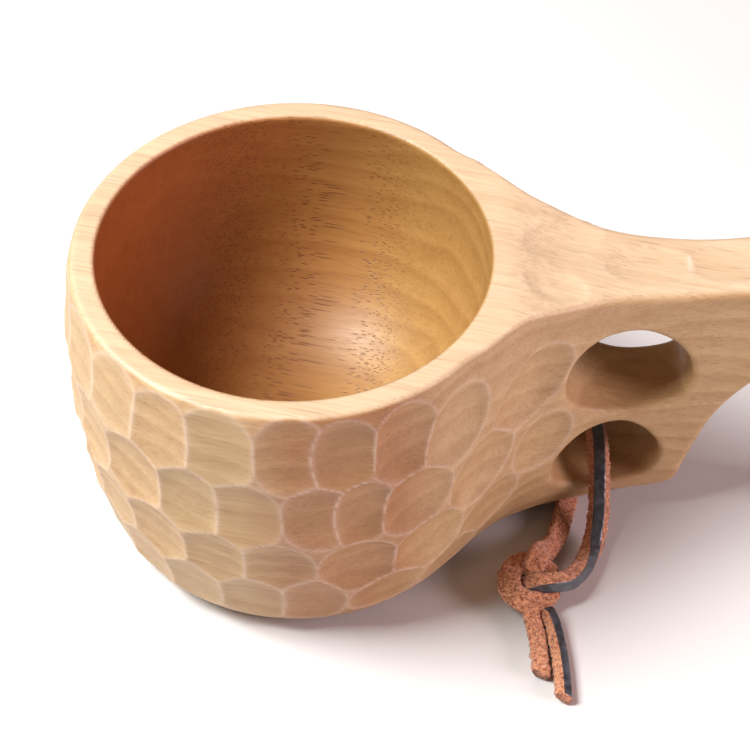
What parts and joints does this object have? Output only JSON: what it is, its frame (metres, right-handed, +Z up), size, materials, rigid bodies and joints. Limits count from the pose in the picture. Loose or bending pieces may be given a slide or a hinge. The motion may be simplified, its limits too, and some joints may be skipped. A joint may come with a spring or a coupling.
{
  "type": "wooden drinking cup",
  "caption": "Carved wooden cup with a deep round bowl, scooped outer wall, a flat handle with finger and lace holes, and a knotted leather lace loop.",
  "frame": {"origin": "centre of the flat base, on the bowl's upright axis", "axes": "+Z up along the bowl's axis, +X along the handle away from the bowl, -Y the side where the lace lies"},
  "size_m": [0.1528, 0.102, 0.07],
  "materials": {
    "wood": "oiled satin, pores open",
    "lace_leather": "smooth black grain side",
    "lace_suede": "raw fuzzy suede"
  },
  "bodies": {
    "cup": {"cup": "wood"},
    "lace": {"lace_loop": "lace_leather", "lace_knot": "lace_suede", "lace_tail_short": "lace_suede", "lace_tail_long": "lace_leather"}
  },
  "joints": [
    {"name": "lace_swing", "type": "hinge", "parent": "cup", "child": "lace", "pos_m": [0.0625, 0, 0.002], "axis": [0, 0, 1], "range_deg": [-6, 7]}
  ]
}
